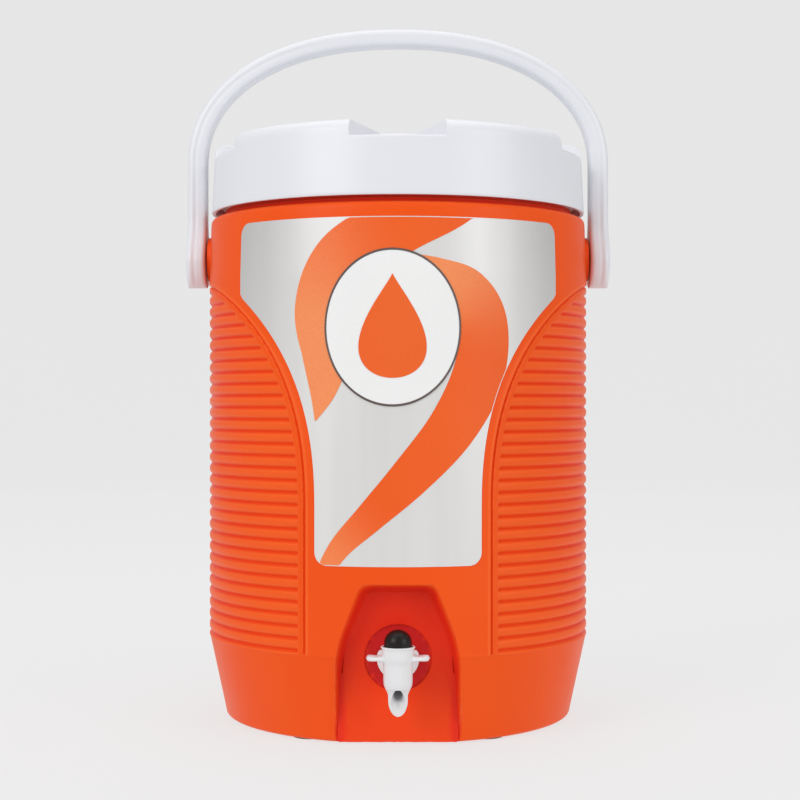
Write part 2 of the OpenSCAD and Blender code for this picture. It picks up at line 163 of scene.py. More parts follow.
def soft_min(a, b, k):
    h = np.clip(0.5 + 0.5 * (b - a) / k, 0.0, 1.0)
    return mix(b, a, h) - k * h * (1 - h)


def soft_max(a, b, k):
    return -soft_min(-a, -b, k)


def baked(obj):
    """Replaces an object's mesh with its result after modifiers, and drops them."""
    graph = bpy.context.evaluated_depsgraph_get()
    result = bpy.data.meshes.new_from_object(obj.evaluated_get(graph))
    obj.modifiers.clear()
    obj.data = result
    return obj


def cut(obj, cutter, operation="DIFFERENCE"):
    """Boolean of two closed meshes; the second one is used up."""
    mod = obj.modifiers.new("cut", "BOOLEAN")
    mod.operation = operation
    mod.solver = "EXACT"
    mod.object = cutter
    bpy.context.view_layer.update()
    baked(obj)
    bpy.data.objects.remove(cutter)
    return obj


# ---- materials ----


class Nodes:
    """A small builder for one material's node tree."""

    def __init__(self, name):
        self.material = bpy.data.materials.new(name)
        self.material.use_nodes = True
        self.tree = self.material.node_tree
        self.shader = self.tree.nodes["Principled BSDF"]
        self.coords = self.add("ShaderNodeTexCoord").outputs["Object"]

    def add(self, kind, **inputs):
        node = self.tree.nodes.new(kind)
        for key, value in inputs.items():
            self.put(node.inputs[key], value)
        return node

    def put(self, socket, value):
        if isinstance(value, bpy.types.NodeSocket):
            self.tree.links.new(value, socket)
        else:
            socket.default_value = value

    def noise(self, scale, stretch=(1, 1, 1), detail=3.0, rough=0.5):
        mapping = self.add("ShaderNodeMapping", Vector=self.coords, Scale=stretch)
        node = self.add("ShaderNodeTexNoise", Vector=mapping.outputs[0], Scale=scale,
                        Detail=detail, Roughness=rough)
        return node.outputs["Fac"]

    def ramp(self, fac, low, high, out_low=0.0, out_high=1.0):
        node = self.add("ShaderNodeMapRange", **{"Value": fac, "From Min": low, "From Max": high,
                                                 "To Min": out_low, "To Max": out_high})
        return node.outputs[0]

    def blend(self, fac, a, b):
        node = self.add("ShaderNodeMix")
        node.data_type = "RGBA"
        node.clamp_factor = True
        self.put(node.inputs[0], fac)
        self.put(node.inputs[6], a)
        self.put(node.inputs[7], b)
        return node.outputs[2]

    def math(self, operation, a, b):
        node = self.add("ShaderNodeMath")
        node.operation = operation
        self.put(node.inputs[0], a)
        self.put(node.inputs[1], b)
        return node.outputs[0]

    def bump(self, *layers):
        """Each layer is (height, strength, distance in metres)."""
        normal = None
        for height, strength, distance in layers:
            node = self.add("ShaderNodeBump", Height=height, Strength=strength, Distance=distance)
            if normal:
                self.put(node.inputs["Normal"], normal)
            normal = node.outputs[0]
        self.put(self.shader.inputs["Normal"], normal)

    def finish(self, **constants):
        for key, value in constants.items():
            self.shader.inputs[key.replace("_", " ")].default_value = value
        return self.material


def rgba(r, g, b):
    return (r, g, b, 1.0)


def moulded(name, colour, dark, light, rough=0.38, grain=0.25, wear=0.12, deep=None, **constants):
    """Moulded plastic: slow shade changes, fine grain, faint scuffs, paler worn edges.

    deep holds painted highlight and painted shade colours for the mesh's per-vertex painted light
    attribute, at -1, 1, 2 and, if given, -2.
    """
    n = Nodes(name)
    slow = n.ramp(n.noise(9.0, detail=2.0), 0.3, 0.7)
    base = n.blend(slow, rgba(*dark), rgba(*colour))
    flow = n.ramp(n.noise(16.0, stretch=(1, 1, 0.25), detail=4.0), 0.45, 0.8, 0.0, 0.35)
    base = n.blend(flow, base, rgba(*light))
    edge = n.add("ShaderNodeNewGeometry").outputs["Pointiness"]
    worn = n.math("MULTIPLY", n.ramp(edge, 0.53, 0.62, 0.0, wear), n.ramp(n.noise(60.0), 0.35, 0.65))
    base = n.blend(worn, base, rgba(*[mix(c, 1.0, 0.5) for c in light]))
    if deep:
        painted_light = n.add("ShaderNodeAttribute")
        painted_light.attribute_name = "painted_light"
        # each painted highlight and painted shade colour fades in between two values, over the ones before
        # it
        for start, end, shade in zip((0, 0, 1, -1), (-1, 1, 2, -2), deep):
            base = n.blend(n.ramp(painted_light.outputs["Fac"], start, end), base, rgba(*shade))
    n.put(n.shader.inputs["Base Color"], base)
    scuffs = n.ramp(n.noise(220.0, stretch=(1, 1, 0.12), detail=5.0, rough=0.6), 0.55, 0.8)
    rough_map = n.ramp(n.noise(25.0), 0.3, 0.7, rough - 0.04, rough + 0.05)
    n.put(n.shader.inputs["Roughness"], n.math("ADD", rough_map, n.math("MULTIPLY", scuffs, 0.10)))
    n.bump((n.noise(1500.0, detail=2.0), grain, 0.00006), (n.noise(40.0), 0.12, 0.0004),
           (scuffs, 0.08, 0.00005))
    return n.finish(**constants)


def film(name, low, high, corner_shade, rough, metal, streak=0.0):
    """Metallised film with a brushed sheen that runs upwards; its upper corners are greyer, a painted
    shade that stands in for darker reflections there.
    """
    n = Nodes(name)
    streaks = n.noise(60.0, stretch=(1, 1, 0.015), detail=6.0, rough=0.65)
    broad = n.noise(7.0, stretch=(1, 1, 0.15), detail=2.0)
    fac = n.math("ADD", n.ramp(broad, 0.3, 0.7, 0.0, 0.6), n.ramp(streaks, 0.35, 0.65, 0.0, 0.4))
    tone = n.blend(fac, rgba(*low), rgba(*high))
    axes = n.add("ShaderNodeSeparateXYZ", Vector=n.coords)
    # painted shade: the film's upper corners turn greyer, standing in for darker reflections
    aside = n.ramp(n.math("ABSOLUTE", axes.outputs["X"], 0.0), 0.045, 0.112)
    above = n.ramp(axes.outputs["Z"], 0.20, 0.335, 0.25, 1.0)
    tone = n.blend(n.math("MULTIPLY", aside, above), tone, rgba(*corner_shade))
    n.put(n.shader.inputs["Base Color"], tone)
    n.put(n.shader.inputs["Roughness"], n.ramp(streaks, 0.3, 0.7, rough - 0.05, rough + 0.07))
    n.bump((streaks, streak, 0.00004), (n.noise(28.0), 0.06, 0.0003))
    return n.finish(Metallic=metal)


def printed(name, low, high, rough=0.4, tint=None):
    """Ink on film: soft tone change, print grain; tint is the colour at tone 1."""
    n = Nodes(name)
    broad = n.ramp(n.noise(11.0, stretch=(1, 1, 0.4), detail=2.0), 0.3, 0.7)
    dots = n.ramp(n.noise(900.0, detail=2.0), 0.4, 0.6, 0.0, 0.12)
    tone = n.blend(broad, rgba(*low), rgba(*high))
    if tint:
        share = n.add("ShaderNodeAttribute")
        share.attribute_name = "tone"
        tone = n.blend(share.outputs["Fac"], tone, rgba(*tint))
    n.put(n.shader.inputs["Base Color"], n.blend(dots, tone, rgba(*[c * 0.85 for c in low])))
    n.put(n.shader.inputs["Roughness"], n.ramp(n.noise(60.0), 0.3, 0.7, rough - 0.05, rough + 0.06))
    n.bump((n.noise(900.0), 0.06, 0.00004))
    return n.finish(Specular_IOR_Level=0.15)


def rubber(name, low, high, rough=0.75):
    """Matt rubber or foam with a little pale dust."""
    n = Nodes(name)
    dust = n.ramp(n.noise(90.0, detail=5.0), 0.4, 0.75)
    n.put(n.shader.inputs["Base Color"], n.blend(dust, rgba(*low), rgba(*high)))
    n.put(n.shader.inputs["Roughness"], n.ramp(n.noise(140.0), 0.3, 0.7, rough - 0.08, rough + 0.1))
    n.bump((n.noise(800.0, detail=4.0), 0.35, 0.00008))
    return n.finish(Specular_IOR_Level=0.35)


def metal(name, low, high, rough=0.28):
    """Turned metal with fine lines round its axis."""
    n = Nodes(name)
    lines = n.noise(500.0, stretch=(0.06, 1, 1), detail=4.0)
    n.put(n.shader.inputs["Base Color"], n.blend(n.ramp(lines, 0.3, 0.7), rgba(*low), rgba(*high)))
    n.put(n.shader.inputs["Roughness"], n.ramp(lines, 0.3, 0.7, rough - 0.06, rough + 0.1))
    n.bump((lines, 0.25, 0.00003))
    return n.finish(Metallic=1.0)


# Painted light on the jacket, as a per-vertex value: a painted highlight (pale orange), painted shade
# (deep red), deeper painted shade in the tap's pocket, and a redder painted shade on the neck under the
# lid
PAINTED_HIGHLIGHT, PAINTED_SHADE, POCKET_TONE, NECK_TONE = -1.0, 1.0, 2.0, -2.0
JACKET_PAINTED_LIGHT = ((0.93, 0.145, 0.026), (0.84, 0.034, 0.010), (0.60, 0.016, 0.015), (0.95, 0.070, 0.030))
# painted shade inside the tap's spout bore: its own white at the mouth, near black higher up
BORE_PAINTED_SHADE = ((0.8, 0.8, 0.81), (0.16, 0.16, 0.17), (0.05, 0.05, 0.055))

ORANGE = moulded("jacket_orange", (0.90, 0.094, 0.008), (0.88, 0.083, 0.006), (0.92, 0.112, 0.012),
                 rough=0.38, wear=0.10, deep=JACKET_PAINTED_LIGHT, Specular_IOR_Level=0.13)
WHITE = moulded("white_plastic", (0.80, 0.81, 0.85), (0.775, 0.785, 0.825), (0.825, 0.83, 0.865),
                rough=0.36, wear=0.08)
TAP_WHITE = moulded("tap_white", (0.80, 0.80, 0.81), (0.77, 0.77, 0.785), (0.83, 0.83, 0.84),
                    rough=0.33, wear=0.05, grain=0.15, deep=BORE_PAINTED_SHADE)
LINER = moulded("liner_white", (0.82, 0.82, 0.83), (0.79, 0.79, 0.80), (0.84, 0.84, 0.85), rough=0.28)
BUTTON = moulded("button_black", (0.011, 0.008, 0.007), (0.008, 0.006, 0.005), (0.018, 0.013, 0.011),
                 rough=0.34, wear=0.06, Specular_IOR_Level=0.25)
BLACK = moulded("black_plastic", (0.030, 0.030, 0.032), (0.024, 0.024, 0.026), (0.04, 0.04, 0.042),
                rough=0.45)
PLUG = moulded("plug_orange", (0.70, 0.065, 0.012), (0.66, 0.055, 0.010), (0.74, 0.08, 0.016), rough=0.45)
# the film's third colour is painted shade for its upper corners
SILVER = film("label_silver", (0.69, 0.685, 0.675), (0.78, 0.775, 0.765), (0.52, 0.512, 0.505),
              0.45, 0.22, streak=0.2)
LABEL_ORANGE = printed("label_orange", (0.86, 0.105, 0.014), (0.90, 0.135, 0.024),
                       tint=(0.93, 0.30, 0.115))
LABEL_DEEP = printed("label_deep_orange", (0.86, 0.12, 0.02), (0.88, 0.16, 0.035))
LABEL_WHITE = printed("label_white", (0.86, 0.86, 0.855), (0.90, 0.90, 0.895))
LABEL_DARK = printed("label_outline", (0.10, 0.075, 0.07), (0.16, 0.12, 0.115))
FOOT_RUBBER = rubber("foot_rubber", (0.045, 0.045, 0.05), (0.075, 0.073, 0.072))
SEAL_RUBBER = rubber("seal_rubber", (0.09, 0.09, 0.095), (0.15, 0.148, 0.145), rough=0.6)
STEEL = metal("stainless_steel", (0.52, 0.52, 0.54), (0.68, 0.68, 0.69))
BRASS = metal("brass", (0.62, 0.44, 0.18), (0.74, 0.56, 0.26), rough=0.3)
FOAM = rubber("insulating_foam", (0.72, 0.60, 0.30), (0.84, 0.74, 0.45), rough=0.8)

# materials of the CAD nodes that are seen as they are
KEPT = {
    "inner_liner": LINER, "lid_liner": LINER, "foam_core": FOAM, "lid_foam": FOAM,
    "foam_fill_plug": PLUG, "foot_front_left": FOOT_RUBBER, "foot_front_right": FOOT_RUBBER,
    "foot_rear_left": FOOT_RUBBER, "foot_rear_right": FOOT_RUBBER,
    "pivot_screw_left": STEEL, "pivot_screw_right": STEEL,
    "pivot_washer_left": BLACK, "pivot_washer_right": BLACK,
    "pivot_insert_left": BRASS, "pivot_insert_right": BRASS,
    "lid_gasket": SEAL_RUBBER, "valve_seat": TAP_WHITE, "stem_guide": BLACK, "stem_oring": SEAL_RUBBER,
    "valve_stem": BLACK, "valve_disc": SEAL_RUBBER, "return_spring": STEEL,
    "inner_gasket": SEAL_RUBBER, "lock_nut": TAP_WHITE, "shank_spacer": BLACK,
}
for node, material in KEPT.items():
    slots = bpy.data.objects[node].data.materials
    slots.clear()
    slots.append(material)

# ---- body ----

PANEL_HALF, FLARE_Z, PANEL_TOP = 61.5, 150.0, 300.0     # smooth panels, front and back
RIB_PITCH, FIRST_GROOVE, GROOVES = 7.766, 59.9, 31      # ribs on the sides
GROOVE_DEPTH, GROOVE_HALF = 1.7, 2.7
LEDGE_Z = 57.0                        # top of the smooth band round the base
NECK_R, SHOULDER_Z = 121.5, 346.0
BOSS_R = 15.5                         # bosses that the bail turns against
COLUMNS_TOP = 293.5                   # the jacket's columns follow the panel's edge up to here


def panel_s(z):
    """Half width of the smooth panel along the surface, at height z."""
    t = np.clip((np.asarray(z, float) - FLARE_Z) / (PANEL_TOP - FLARE_Z), 0.0, 1.0)
    flare = 1 - (1 - t ** 2.4) ** (1 / 2.4)
    return PANEL_HALF + (LINE_R * math.pi / 2 - PANEL_HALF) * flare


LINE_Z = np.concatenate([np.linspace(LEDGE_Z - 1, FLARE_Z, 60), np.linspace(FLARE_Z, 290, 160),
                         PANEL_TOP - 10 * (1 - np.linspace(0, 1, 160)) ** 2.4])
LINE_S = panel_s(LINE_Z)


def line_distance(s, z):
    """Distance to the panel's edge, positive on the panel's side; s is an array at one height."""
    near = np.sqrt(np.min((s[:, None] - LINE_S) ** 2 + (z - LINE_Z) ** 2, axis=1))
    inside = (s < panel_s(z)) | (z >= PANEL_TOP)
    return np.where(inside, near, -near)


def rib_depth(z):
    """How deep the grooves lie at height z, between the rounded ribs."""
    k = round((z - FIRST_GROOVE) / RIB_PITCH)
    if not 0 <= k < GROOVES:
        return 0.0
    share = max(0.0, 1 - abs(z - FIRST_GROOVE - k * RIB_PITCH) / GROOVE_HALF)
    return GROOVE_DEPTH * share ** 1.25


# Outline of the smooth body, from the middle of the base up and back inside
LOWER = ([(0.0, BASE_Z), (60.0, BASE_Z), (104.0, BASE_Z)]
         + fillet(117.6, BASE_Z + 3.4, 3.4, -90, -12, 6))
BAND = [(mix(121.15, 131.9, t), mix(5.2, 55.0, t)) for t in (i / 16 for i in range(17))]
LEDGE = [(132.1, 55.9), (132.35, 56.5), (BODY_R, 57.0), (BODY_R + 0.1, 57.5)]
RIB_STEPS = (-3.88, -2.65, -2.0, -1.2, -0.35, 0.0, 0.35, 1.2, 2.0, 2.65)
RIBS = [(BODY_R, FIRST_GROOVE + k * RIB_PITCH + d) for k in range(GROOVES) for d in RIB_STEPS
        if FIRST_GROOVE + k * RIB_PITCH + d > LEDGE[-1][1] + 0.2]
JOIN = [(BODY_R, z) for z in np.arange(RIBS[-1][1] + 0.8, 303.0, 0.8)]


def upper_r(z):
    return mix(BODY_R, BODY_R - 1.3, (z - PANEL_TOP) / (SHOULDER_Z - PANEL_TOP))


SHOULDER = ([(upper_r(z), z) for z in (305.0, 309.0, 314.0, 319.0, 324.0, 329.0, 334.0, 338.0, 341.0)]
            + fillet(upper_r(SHOULDER_Z) - 3.6, SHOULDER_Z - 3.6, 3.6, 4, 90, 7)
            + [(125.0, SHOULDER_Z), (122.6, SHOULDER_Z + 0.1), (122.0, SHOULDER_Z + 0.4),
               (NECK_R + 0.1, 347.0), (NECK_R, 347.6), (NECK_R + 0.9, 348.1), (NECK_R + 1.1, 348.7),
               (NECK_R + 0.9, 349.3), (NECK_R, 349.8), (NECK_R, NECK_TOP)])
INSIDE = ([(118.5, NECK_TOP), (118.5, 343.5)]
          + [(128.4, 343.0), (129.4, 336.0), (129.4, 300.0), (129.4, 200.0), (129.4, 150.0),
             (129.4, 110.0), (129.4, 105.0), (129.4, 100.0), (129.4, 90.0), (129.4, 75.0),
             (129.4, 61.0), (129.0, 56.5), (127.2, 46.5), (119.2, 9.0), (115.0, 4.2),
             (100.0, 4.0), (60.0, 4.0), (0.0, 4.0)])
WALL = 3.2                            # thickness of the jacket

# Tap recess, as a front-view outline whose walls lean in from its rim
RECESS_HALF, RECESS_BEND_Z, RECESS_TOP_HALF, RECESS_TOP = 39.6, 61.0, 24.0, 103.5
RECESS_FLOOR_Y, POCKET_Y, POCKET_R = -114.0, -112.5, 21.5
WALL_LEAN = 0.34
SLANT = Vector((RECESS_TOP - 2 - RECESS_BEND_Z, RECESS_HALF - RECESS_TOP_HALF)).normalized()


def recess_inset(x, z):
    """Distance in from the recess's rim, seen from the front."""
    side = RECESS_HALF - np.abs(x)
    slanted = SLANT[0] * side + SLANT[1] * (RECESS_BEND_Z - z)
    return soft_min(soft_min(side, slanted, 5.0), RECESS_TOP - z + 0 * side, 6.0)


def body_point(theta, radius, z, offset):
    """Points of the jacket at one height: the round body with the recess cut into its front."""
    x = radius * np.sin(theta)
    y = -radius * np.cos(theta)
    if z < RECESS_TOP + 8:
        inset = recess_inset(x, z)
        rim_x = np.clip(np.abs(x) + inset, 0, RECESS_HALF)
        rim_y = -np.sqrt(np.maximum(radius ** 2 - np.minimum(rim_x, radius * 0.9) ** 2, 1.0))
        floor = POCKET_Y + offset + 0 * x
        walls = rim_y + inset / WALL_LEAN + offset
        deep = soft_min(floor, walls, 1.2)
        front = np.cos(theta) > 0.5
        y = np.where(front, soft_max(y, deep, 1.8 if offset == 0 else 0.5), y)
    return x, y


def columns():
    """Angles round the body as functions of the panel's half angle at a height."""
    recess = np.radians(np.concatenate([np.linspace(1.6, 9.5, 6), np.linspace(9.9, 18.6, 25),
                                        np.linspace(19.6, 23.0, 3)]))
    plain = np.radians(np.linspace(2.6, 23.0, 9))
    near_in = np.array([-4.6, -3.4, -2.6, -1.9, -1.3, -0.8, -0.4, 0.0])
    near_out = np.array([0.4, 0.8, 1.2, 1.7, 2.6, 3.8, 4.8, 5.5, 6.2, 6.9, 7.7, 9.0])
    ribs = np.linspace(0, 1, 18)[1:]
    low = PANEL_HALF / LINE_R

    def at(z):
        z = min(z, COLUMNS_TOP)
        half = float(panel_s(z)) / LINE_R
        slope = float(panel_s(z + 0.25) - panel_s(z - 0.25)) / 0.5
        stretch = math.sqrt(1 + slope * slope) / LINE_R
        inner = half + near_in * min(stretch, 0.25 * half / 4.6)
        outer = half + near_out * min(stretch, 0.6 * (math.pi / 2 - half) / 9.0)
        grow = inner[0] / (low - 4.6 / LINE_R)
        side = outer[-1] + ribs * (math.pi / 2 - outer[-1])
        front = np.concatenate([recess * grow, inner, outer, side])
        rear = np.concatenate([plain * grow, inner, outer, side[:-1]])
        quarter_r = np.pi - rear[::-1]
        right = np.concatenate([[0.0], front, quarter_r, [np.pi]])
        left = -np.concatenate([front, quarter_r])[::-1]
        return np.concatenate([right, left])
    return at


def jacket_rows():
    at = columns()
    for r, z in LOWER + BAND + LEDGE + RIBS + JOIN + SHOULDER:
        z = float(z)
        theta = at(z)
        radius = np.full(theta.shape, float(r))
        if LEDGE_Z < z < PANEL_TOP + 8:
            turn = np.abs(theta)
            s = LINE_R * np.where(turn > np.pi / 2, np.pi - turn, turn)
            d = line_distance(s, z)
            lip = 0.4 * smoothstep(-0.2, 0.5, d) * (1 - smoothstep(1.4, 3.6, d))
            groove = -1.3 * smoothstep(-1.9, -0.9, d) * (1 - smoothstep(-0.6, 0.1, d))
            ribs = -rib_depth(z) * smoothstep(5.0, 6.8, -d)
            fade = float(smoothstep(LEDGE_Z, LEDGE_Z + 1.2, z))
            radius = radius + (lip + groove + ribs) * fade
        x, y = body_point(theta, radius, z, 0.0)
        yield list(zip(x, y, np.full(theta.shape, z)))
    for r, z in INSIDE:
        theta = at(float(z))
        x, y = body_point(theta, np.full(theta.shape, float(r)), float(z), WALL)
        yield list(zip(x, y, np.full(theta.shape, float(z))))


CREST_TONE, LIP_TONE = 0.35 * PAINTED_HIGHLIGHT, 0.6 * PAINTED_HIGHLIGHT   # painted highlights on the ribs' crests, and on the edges of grooves and panels
WALL_TONE, RIM_TONE = 1.2 * PAINTED_SHADE, 0.45 * PAINTED_SHADE      # painted shade on the walls of the tap recess, and on its rounded rim
LOW_FADE = 0.45                                  # painted shade on the recess's floor is lighter towards the base
# painted shade in the side grooves, lighter near the front and stronger at the sides
GROOVE_FRONT, GROOVE_SIDE = 0.42 * PAINTED_SHADE, 0.75 * PAINTED_SHADE


def recess_tone(x, y, z, inset):
    """The painted shade value inside the tap recess, inset mm in from its rim."""
    # darkest painted shade in the tap's round pocket
    if y > POCKET_Y - 0.8 and math.hypot(x, z - TAP_Z) < POCKET_R + 0.05:
        return POCKET_TONE
    # painted shade on the floor, stronger towards the walls and lighter towards the base
    if y > RECESS_FLOOR_Y - 1.0:
        faded = PAINTED_SHADE - LOW_FADE * (1 - float(smoothstep(10.0, 75.0, z)))
        return mix(WALL_TONE, faded, float(smoothstep(3.5, 7.0, inset)))
    # painted shade on the walls and rim, growing with depth below the round body
    depth = math.sqrt(max(BODY_R ** 2 - x * x, 0.0)) + y
    return min(WALL_TONE, max(RIM_TONE, (min(depth - 1.5, inset * 2.5) - 0.6) / 3.5))


def jacket_painted_light(x, y, z):
    """The painted light value of a point of the jacket, from painted highlights to painted shade; 0 on the
    open surface.
    """
    r = math.hypot(x, y)
    # redder painted shade on the neck, in the gap under the lid
    if z > SHOULDER_Z - 0.5 and r < 127.0:
        return NECK_TONE
    if y < -100.0 and z < RECESS_TOP and abs(x) < RECESS_HALF:
        inset = float(recess_inset(np.array([x]), z)[0])
        if inset > 0:
            return recess_tone(x, y, z, inset)
        # painted shade fading out just outside the recess's rim
        if inset > -0.9:
            return RIM_TONE * (inset + 0.9) / 0.9
    if LEDGE_Z < z < PANEL_TOP:
        sunk = BODY_R - r
        turn = abs(math.atan2(x, -y))
        turn = min(turn, math.pi - turn)
        # painted shade in the grooves
        if sunk > 0.45:
            aside = float(smoothstep(0.5, 1.4, turn))
            return mix(GROOVE_FRONT, GROOVE_SIDE, aside) * min(1.0, (sunk - 0.45) / 0.8)
        # painted highlight on the edges of the grooves and on the panels' raised lip
        if sunk > 0.12 or sunk < -0.2:
            return LIP_TONE
        # painted highlight on the ribs' crests
        on_ribs = line_distance(np.array([LINE_R * turn]), z)[0] < -5.0
        return CREST_TONE if on_ribs else 0.0
    return 0.0


def build_jacket():
    bm = bmesh.new()
    rows = list(jacket_rows())
    rows[0] = [(0.0, 0.0, rows[0][0][2])]
    rows[-1] = [(0.0, 0.0, rows[-1][0][2])]
    ring_skin(bm, rows)
    # round bosses that the handle turns against
    face = abs(box_mm("pivot_washer_right")[0][0]) - 0.1
    profile = [(0.0, 116.0), (BOSS_R + 1, 116.0), (BOSS_R + 1, BODY_R - 2.5), (BOSS_R + 0.2, BODY_R - 1.2),
               (BOSS_R, BODY_R - 0.4), (BOSS_R, face - 0.5), (BOSS_R - 0.5, face), (0.0, face)]
    for side in (-1, 1):
        ring_skin(bm, turned(profile, lambda u, v, h: (side * h, u, PIVOT_Z + v), 48))
    # floor plate of the recess, from the tap's round pocket out to the walls; each ring is
    # (mm outside the pocket, share of the way to the walls, y)
    rings = []
    steps = 144
    for grow, share, y in ((0.0, 0.0, POCKET_Y + 2.0), (0.0, 0.0, RECESS_FLOOR_Y + 0.5),
                           (0.15, 0.0, RECESS_FLOOR_Y + 0.12), (0.5, 0.0, RECESS_FLOOR_Y),
                           (0.5, 0.4, RECESS_FLOOR_Y), (0.5, 0.72, RECESS_FLOOR_Y),
                           (0.5, 0.86, RECESS_FLOOR_Y), (0.5, 0.94, RECESS_FLOOR_Y),
                           (0.5, 1.0, RECESS_FLOOR_Y), (0.5, 1.0, POCKET_Y + 2.0)):
        row = []
        for i in range(steps):
            a = 2 * math.pi * i / steps
            ux, uz = math.sin(a), math.cos(a)
            reach = POCKET_R + grow
            if share:
                far = 1.5 + WALL_LEAN * 9 if uz > -0.3 else 1.0
                end = POCKET_R
                while (recess_inset(np.array([end * ux]), TAP_Z + end * uz)[0] > far
                       and TAP_Z + end * uz > BASE_Z + 0.3):
                    end += 0.25
                reach = mix(reach, end, share)
            row.append((reach * ux, y, TAP_Z + reach * uz))
        rings.append(row)
    close_tube(bm, rings)
    # painted highlights and painted shade on the jacket, stored per vertex
    mark_painted_light(bm, jacket_painted_light)
    obj = make("jacket", bm, "cooler", ORANGE, smooth=50)
    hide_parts("outer_shell")
    return obj


build_jacket()

# ---- lid ----

LID_FLOOR = 388.0                     # floor of the finger notches
LID_RIM = lid_high[2] - 2.0
LID_LOW, LID_UNDER = lid_low[2], 358.0
LID_TOP_R, LID_LOW_R, LID_FILLET = 129.0, 131.0, 8.5
NOTCH_END, NOTCHES = 50.0, 5


def notch_half(r):
    """Half width of a finger notch, which widens outwards."""
    return 0.257 * (r - 9.0)


def build_lid():
    crown = lid_high[2] - 0.1

    def top_z(r):
        return mix(crown, LID_RIM - 0.1, (r / (LID_TOP_R - LID_FILLET)) ** 2)

    inner = [8.0, 20.0, 32.0, 42.0, 47.0]
    end_steps = [(-1.5, 1.0), (-1.15, 0.985), (-0.85, 0.94), (-0.6, 0.85),
                 (-0.15, 0.12), (0.05, 0.05), (0.35, 0.012), (0.75, 0.0)]
    mid = [56.0, 66.0, 78.0, 90.0, 102.0, 112.0]
    plain_rim = fillet(LID_TOP_R - LID_FILLET, LID_RIM - LID_FILLET - 0.1, LID_FILLET, 90, 2, 11)
    top_p = plain_rim[-1][1]

    def cone_r(z):
        return mix(LID_TOP_R, LID_LOW_R, (top_p - z) / (top_p - LID_LOW))

    floor_r = [LID_TOP_R - LID_FILLET + i * 1.0 for i in range(7)]
    notch_rim = ([(r, LID_FLOOR) for r in floor_r]
                 + fillet(cone_r(LID_FLOOR - 1.5) - 1.5, LID_FLOOR - 1.5, 1.5, 78, 2, 4))
    side = (0.04, 0.12, 0.25, 0.45, 0.65, 0.85, 0.95, 0.985)
    under = [(130.6, LID_LOW), (128.4, LID_LOW), (128.1, LID_LOW + 0.4), (128.1, LID_UNDER),
             (60.0, LID_UNDER)]

    # rows: (plain r, plain z, notch r, notch z)
    rows = [(r, top_z(r), r, top_z(r)) for r in inner]
    for d, up in end_steps:
        r = NOTCH_END + d
        rows.append((r, top_z(r), r, mix(LID_FLOOR, top_z(r), up)))
    rows += [(r, top_z(r), r, LID_FLOOR) for r in mid]
    rows += [(pr, pz, nr, nz) for (pr, pz), (nr, nz) in zip(plain_rim, notch_rim)]
    top_n = notch_rim[-1][1]
    for t in side:
        pz, nz = mix(top_p, LID_LOW, t), mix(top_n, LID_LOW, t)
        rows.append((cone_r(pz), pz, cone_r(nz), nz))
    rows += [(r, z, r, z) for r, z in under]

    # columns: distance out from the notch's edge in mm, and height share there
    edge = [(-0.8, 0.0), (-0.35, 0.012), (-0.05, 0.05), (0.15, 0.12), (0.6, 0.85), (0.85, 0.94),
            (1.15, 0.985), (1.5, 1.0)]
    inside = [0.0, 0.14, 0.28, 0.42, 0.56, 0.70, 0.84, 0.94]
    outside = [0.08, 0.2, 0.35, 0.5, 0.65, 0.8, 0.92, 1.0]
    sector = math.pi / NOTCHES

    bm = bmesh.new()
    lid_rows = [[(0.0, 0.0, crown)]]
    for pr, pz, nr, nz in rows:
        r_ref = max(pr, NOTCH_END)
        half = math.asin(notch_half(r_ref) / r_ref)
        low_edge = half + edge[0][0] / r_ref
        high_edge = half + edge[-1][0] / r_ref
        quarter = [(low_edge * t, 0.0) for t in inside]
        quarter += [(half + d / r_ref, up) for d, up in edge]
        quarter += [(mix(high_edge, sector, t), 1.0) for t in outside]
        full = quarter + [(2 * sector - a, up) for a, up in quarter[::-1][1:-1]]
        row = []
        for n in range(NOTCHES):
            for a, up in full:
                r, z = mix(nr, pr, up), mix(nz, pz, up)
                turn = a + n * 2 * sector
                row.append((r * math.sin(turn), -r * math.cos(turn), z))
        lid_rows.append(row)
    lid_rows.append([(0.0, 0.0, LID_UNDER)])
    ring_skin(bm, lid_rows)
    obj = make("lid_top", bm, "lid", WHITE, smooth=40)
    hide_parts("lid_shell")
    return obj


build_lid()

# ---- bail ----

ARM_TOP = 385.0                       # the arms run straight up to here
IN_X = 135.0                          # inner face of the arms
BAIL_T = bail_high[0] - IN_X
GRIP_TOP = bail_high[2]
GRIP_UNDER = GRIP_TOP - 12.0
BAIL_HALF = 8.5                       # half width of the strap
PADDLE_R = 20.0                       # round ends at the pivots
ARCH_N = 2.2                          # exponent of the arch's superellipse
PIVOT_BORE_R, HEAD_BORE_R, BORE_MOUTH_R = 4.1, 8.4, 9.2


def arch(a, b, t):
    """A point of the arch with half width a and rise b."""
    c, s = math.cos(t), math.sin(t)
    return (a * math.copysign(abs(c) ** (2 / ARCH_N), c), ARM_TOP + b * max(s, 0.0) ** (2 / ARCH_N))


def bail_section(half, thick, seam):
    """Section points as (share across from inside to outside in mm, y)."""
    r_out, r_in = min(4.4, half * 0.9), min(3.0, half * 0.6)
    pts = []
    seam_at = thick - 6.3
    for side in (1, -1):
        face = [(seam_at + d, side * (half - seam * deep))
                for d, deep in ((-1.5, 0.0), (-0.9, 0.25), (-0.2, 0.95), (0.3, 1.0), (0.9, 0.7),
                                (1.6, 0.45))]
        outer = [(x, side * y) for x, y in fillet(thick - r_out, half - r_out, r_out, 90, 0, 7)]
        inner = [(x, side * y) for x, y in fillet(r_in, half - r_in, r_in, 180, 90, 5)]
        half_loop = inner + face + outer
        pts += half_loop if side > 0 else half_loop[::-1]
    return pts


